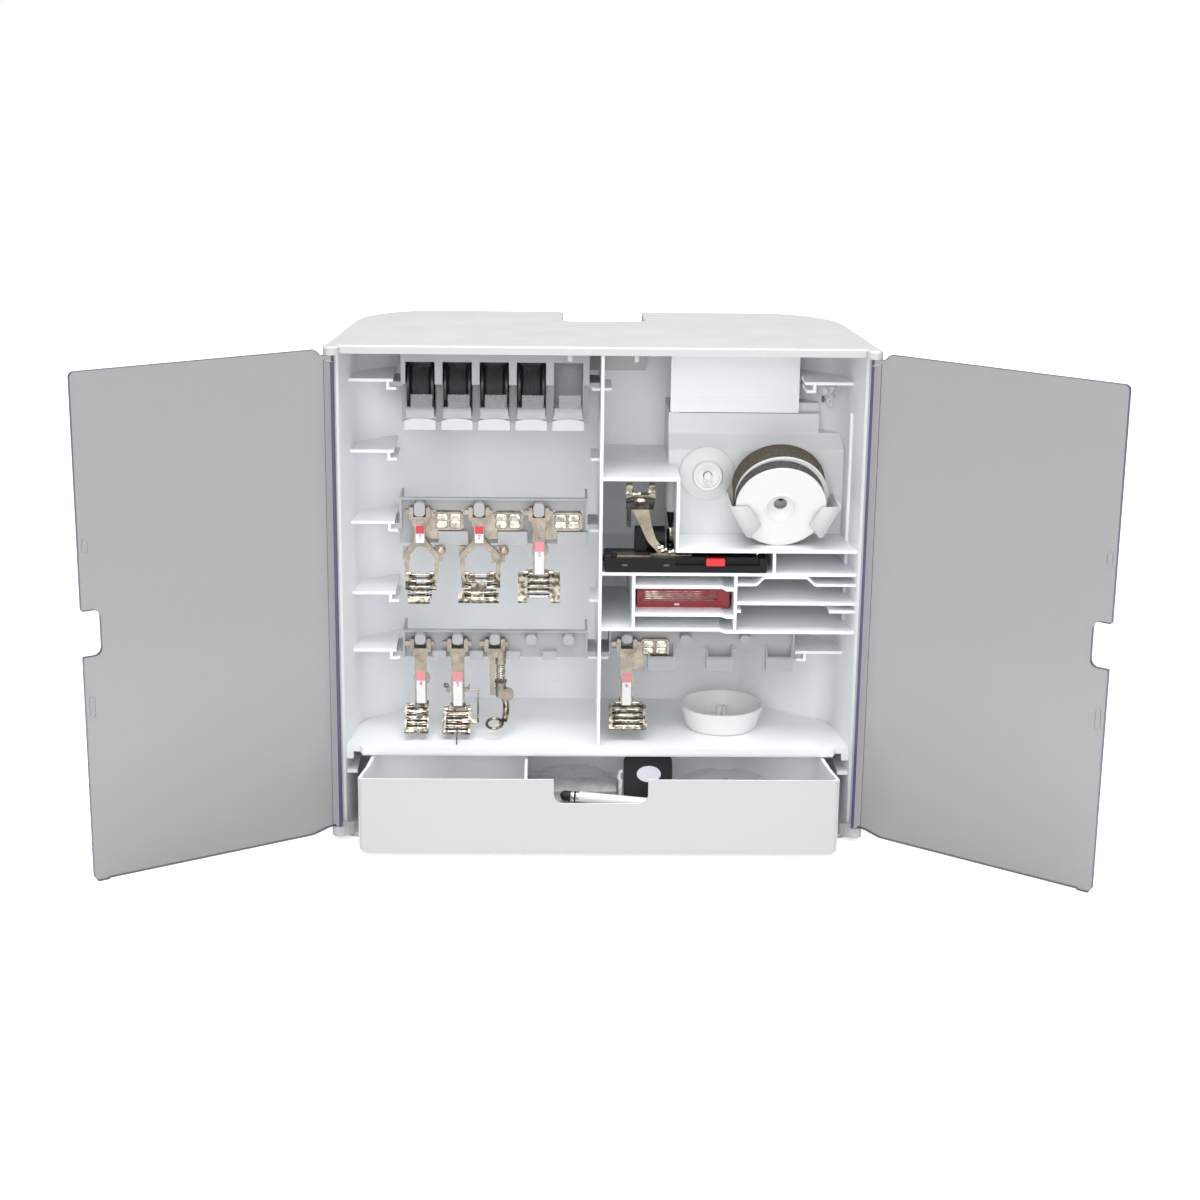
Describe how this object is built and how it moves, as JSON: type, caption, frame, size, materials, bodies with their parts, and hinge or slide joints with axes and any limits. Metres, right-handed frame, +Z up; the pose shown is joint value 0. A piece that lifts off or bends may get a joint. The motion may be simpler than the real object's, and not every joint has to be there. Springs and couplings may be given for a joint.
{
  "type": "sewing accessory storage box",
  "caption": "Free-standing sewing accessory box with two smoked swing doors, a drawer, swing-out supports, clip holders with presser feet, bobbins and small tools.",
  "frame": {"origin": "centre of the case's underside, midway between its front plane and its back", "axes": "+X to the right as seen from the front, +Y towards the back, +Z up"},
  "size_m": [0.5809, 0.2268, 0.3065],
  "materials": {
    "case_white": "fine matte",
    "holder_grey": "fine matte",
    "key_white": "satin",
    "smoked_clear": "polished",
    "bobbin_black": "gloss",
    "thread_black": "twisted thread",
    "foot_nickel": "satin nickel",
    "spring_steel": "bright",
    "sledge_black": "satin",
    "slider_red": "gloss",
    "needle_red": "translucent gloss",
    "disc_white": "satin",
    "foam_charcoal": "open foam",
    "foam_olive": "open foam",
    "rubber_black": "matte",
    "pad_grey": "matte",
    "clear_plastic": "clear",
    "stylus_white": "gloss",
    "card_black": "printed card",
    "screw_steel": "zinc"
  },
  "bodies": {
    "case": {"base_plate": "case_white", "housing_shell": "case_white", "inner_liner": "case_white", "top_cover": "case_white", "grip_pocket": "case_white", "deck_plate": "case_white", "centre_divider": "case_white", "compartment_insert": "case_white", "spool_block": "case_white", "flat_panel": "case_white", "rubber_pads": "pad_grey", "base_screws": "screw_steel", "bobbin_holder": "holder_grey", "foot_holder_upper": "holder_grey", "foot_holder_lower": "holder_grey", "foot_holder_right": "holder_grey", "bobbin_1": "bobbin_black", "thread_1": "thread_black", "bobbin_2": "bobbin_black", "thread_2": "thread_black", "bobbin_3": "bobbin_black", "thread_3": "thread_black", "bobbin_4": "bobbin_black", "thread_4": "thread_black", "foot_1": "foot_nickel", "foot_2": "foot_nickel", "foot_3": "foot_nickel", "foot_4": "foot_nickel", "foot_5": "foot_nickel", "foot_6": "foot_nickel", "foot_7": "foot_nickel", "darning_spring": "spring_steel", "sledge_frame": "sledge_black", "sledge_arm": "foot_nickel", "sledge_wheel": "rubber_black", "needle_case": "needle_red", "cone_disc": "disc_white", "large_disc": "disc_white", "thin_disc": "disc_white", "dish_disc": "disc_white", "foam_pad_dark": "foam_charcoal", "foam_pad_olive": "foam_olive", "small_bag": "clear_plastic"},
    "left_door": {"left_door": "smoked_clear"},
    "right_door": {"right_door": "smoked_clear"},
    "drawer": {"drawer_tray": "case_white", "drawer_partition": "case_white", "clear_case": "clear_plastic", "stylus_tip": "rubber_black", "stylus_barrel": "stylus_white", "leaning_card": "card_black", "parts_bag": "clear_plastic"},
    "support_left": {"support_left": "case_white"},
    "support_right": {"support_right": "case_white"},
    "slider": {"sledge_slider": "slider_red"},
    "key_1": {"spring_key_1": "key_white"},
    "key_2": {"spring_key_2": "key_white"},
    "key_3": {"spring_key_3": "key_white"},
    "key_4": {"spring_key_4": "key_white"},
    "key_5": {"spring_key_5": "key_white"}
  },
  "joints": [
    {"name": "left_door_swing", "type": "hinge", "parent": "case", "child": "left_door", "pos_m": [-0.1583, -0.0668, 0.15], "axis": [0, 0, 1], "range_deg": [-17, 62]},
    {"name": "right_door_swing", "type": "hinge", "parent": "case", "child": "right_door", "pos_m": [0.1583, -0.0668, 0.15], "axis": [0, 0, 1], "range_deg": [-56.5, 22.5]},
    {"name": "drawer_slide", "type": "slide", "parent": "case", "child": "drawer", "axis": [0, -1, 0], "range_m": [-0.036, 0.055]},
    {"name": "support_left_swing", "type": "hinge", "parent": "case", "child": "support_left", "pos_m": [-0.088, 0.053, 0.005], "axis": [0, 0, 1], "range_deg": [0, 90]},
    {"name": "support_right_swing", "type": "hinge", "parent": "case", "child": "support_right", "pos_m": [0.088, 0.053, 0.005], "axis": [0, 0, 1], "range_deg": [-90, 0]},
    {"name": "slider_shift", "type": "slide", "parent": "case", "child": "slider", "axis": [1, 0, 0], "range_m": [-0.018, 0.02]},
    {"name": "key_1_press", "type": "hinge", "parent": "case", "child": "key_1", "pos_m": [-0.1088, -0.005, 0.2586], "axis": [1, 0, 0], "range_deg": [0, 8], "stiffness_Nm_per_rad": 0.2, "springref_deg": -2.86},
    {"name": "key_2_press", "type": "hinge", "parent": "case", "child": "key_2", "pos_m": [-0.0866, -0.005, 0.2586], "axis": [1, 0, 0], "range_deg": [0, 8], "stiffness_Nm_per_rad": 0.2, "springref_deg": -2.86},
    {"name": "key_3_press", "type": "hinge", "parent": "case", "child": "key_3", "pos_m": [-0.0644, -0.005, 0.2586], "axis": [1, 0, 0], "range_deg": [0, 8], "stiffness_Nm_per_rad": 0.2, "springref_deg": -2.86},
    {"name": "key_4_press", "type": "hinge", "parent": "case", "child": "key_4", "pos_m": [-0.0422, -0.005, 0.2586], "axis": [1, 0, 0], "range_deg": [0, 8], "stiffness_Nm_per_rad": 0.2, "springref_deg": -2.86},
    {"name": "key_5_press", "type": "hinge", "parent": "case", "child": "key_5", "pos_m": [-0.02, -0.005, 0.2586], "axis": [1, 0, 0], "range_deg": [0, 8], "stiffness_Nm_per_rad": 0.2, "springref_deg": -2.86}
  ]
}
